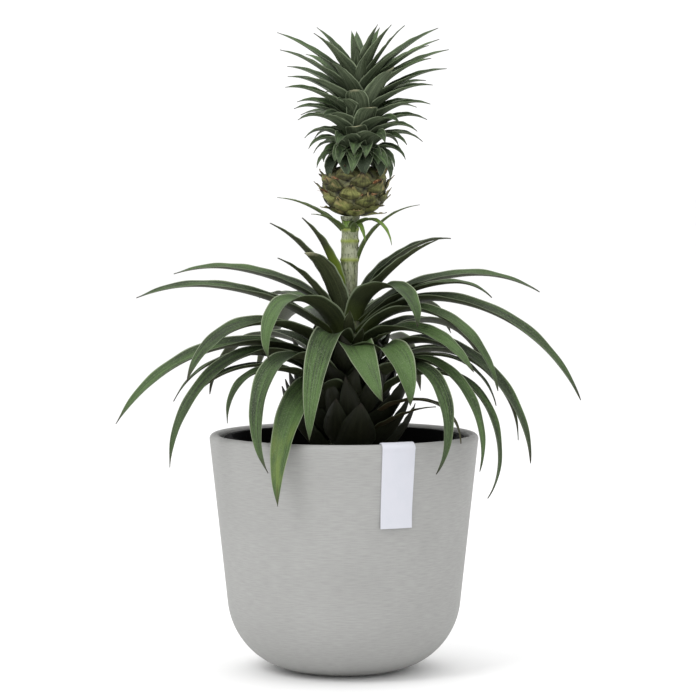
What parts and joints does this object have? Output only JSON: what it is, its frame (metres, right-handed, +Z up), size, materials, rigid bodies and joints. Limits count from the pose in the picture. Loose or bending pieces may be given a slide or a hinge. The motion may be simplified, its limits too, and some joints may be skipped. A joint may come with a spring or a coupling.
{
  "type": "potted pineapple plant",
  "caption": "Ornamental pineapple plant with a small crowned fruit on a stalk above an arching leaf rosette, in a round grey cover pot",
  "frame": {"origin": "centre of the cover pot's flat underside", "axes": "+Z up through the pot; -Y is the front, where the card tag hangs over the rim to the right of the middle; +X to the right seen from the front"},
  "size_m": [0.2537, 0.1936, 0.3585],
  "materials": {
    "cover_pot": "matt light grey moulded recycled plastic with fine fibres",
    "nursery_plastic": "satin black thin moulded plastic",
    "soil": "crumbly dark peat and bark",
    "tag_card": "smooth matt white card, bare",
    "stalk": "green fibrous stalk with pale scurf",
    "leaf": "waxy grey-green leaf with fine lengthwise ribs",
    "bract": "fresh green bract",
    "fruit": "olive and tan segmented rind",
    "crown_leaf": "waxy grey-green crown leaves with brown tips"
  },
  "bodies": {
    "root": {"cover_pot": "cover_pot", "nursery_pot": "nursery_plastic", "potting_soil": "soil", "hang_tag": "tag_card", "stem": "stalk", "peduncle": "stalk", "fruit": "fruit", "crown": "crown_leaf", "leaf_01": "leaf", "leaf_02": "leaf", "leaf_03": "leaf", "leaf_04": "leaf", "leaf_05": "leaf", "leaf_06": "leaf", "leaf_07": "leaf", "leaf_08": "leaf", "leaf_09": "leaf", "leaf_10": "leaf", "leaf_11": "leaf", "leaf_12": "leaf", "leaf_13": "leaf", "leaf_14": "leaf", "leaf_15": "leaf", "leaf_16": "leaf", "leaf_17": "leaf", "leaf_18": "leaf", "leaf_19": "leaf", "leaf_20": "leaf", "leaf_21": "leaf", "leaf_22": "leaf", "leaf_23": "leaf", "leaf_24": "leaf", "leaf_25": "leaf", "leaf_26": "leaf", "leaf_27": "leaf", "leaf_28": "leaf", "leaf_29": "leaf", "leaf_30": "leaf", "leaf_31": "leaf", "leaf_32": "leaf", "leaf_33": "leaf", "leaf_34": "leaf", "leaf_35": "leaf", "leaf_36": "leaf", "leaf_37": "leaf", "leaf_38": "leaf", "leaf_39": "leaf", "leaf_40": "leaf", "leaf_41": "leaf", "leaf_42": "leaf", "leaf_43": "leaf", "leaf_44": "leaf", "leaf_45": "leaf", "leaf_46": "leaf", "peduncle_bract_1": "bract", "peduncle_bract_2": "bract", "peduncle_bract_3": "bract", "peduncle_bract_4": "bract", "peduncle_bract_5": "bract", "peduncle_bract_6": "bract"}
  },
  "joints": []
}
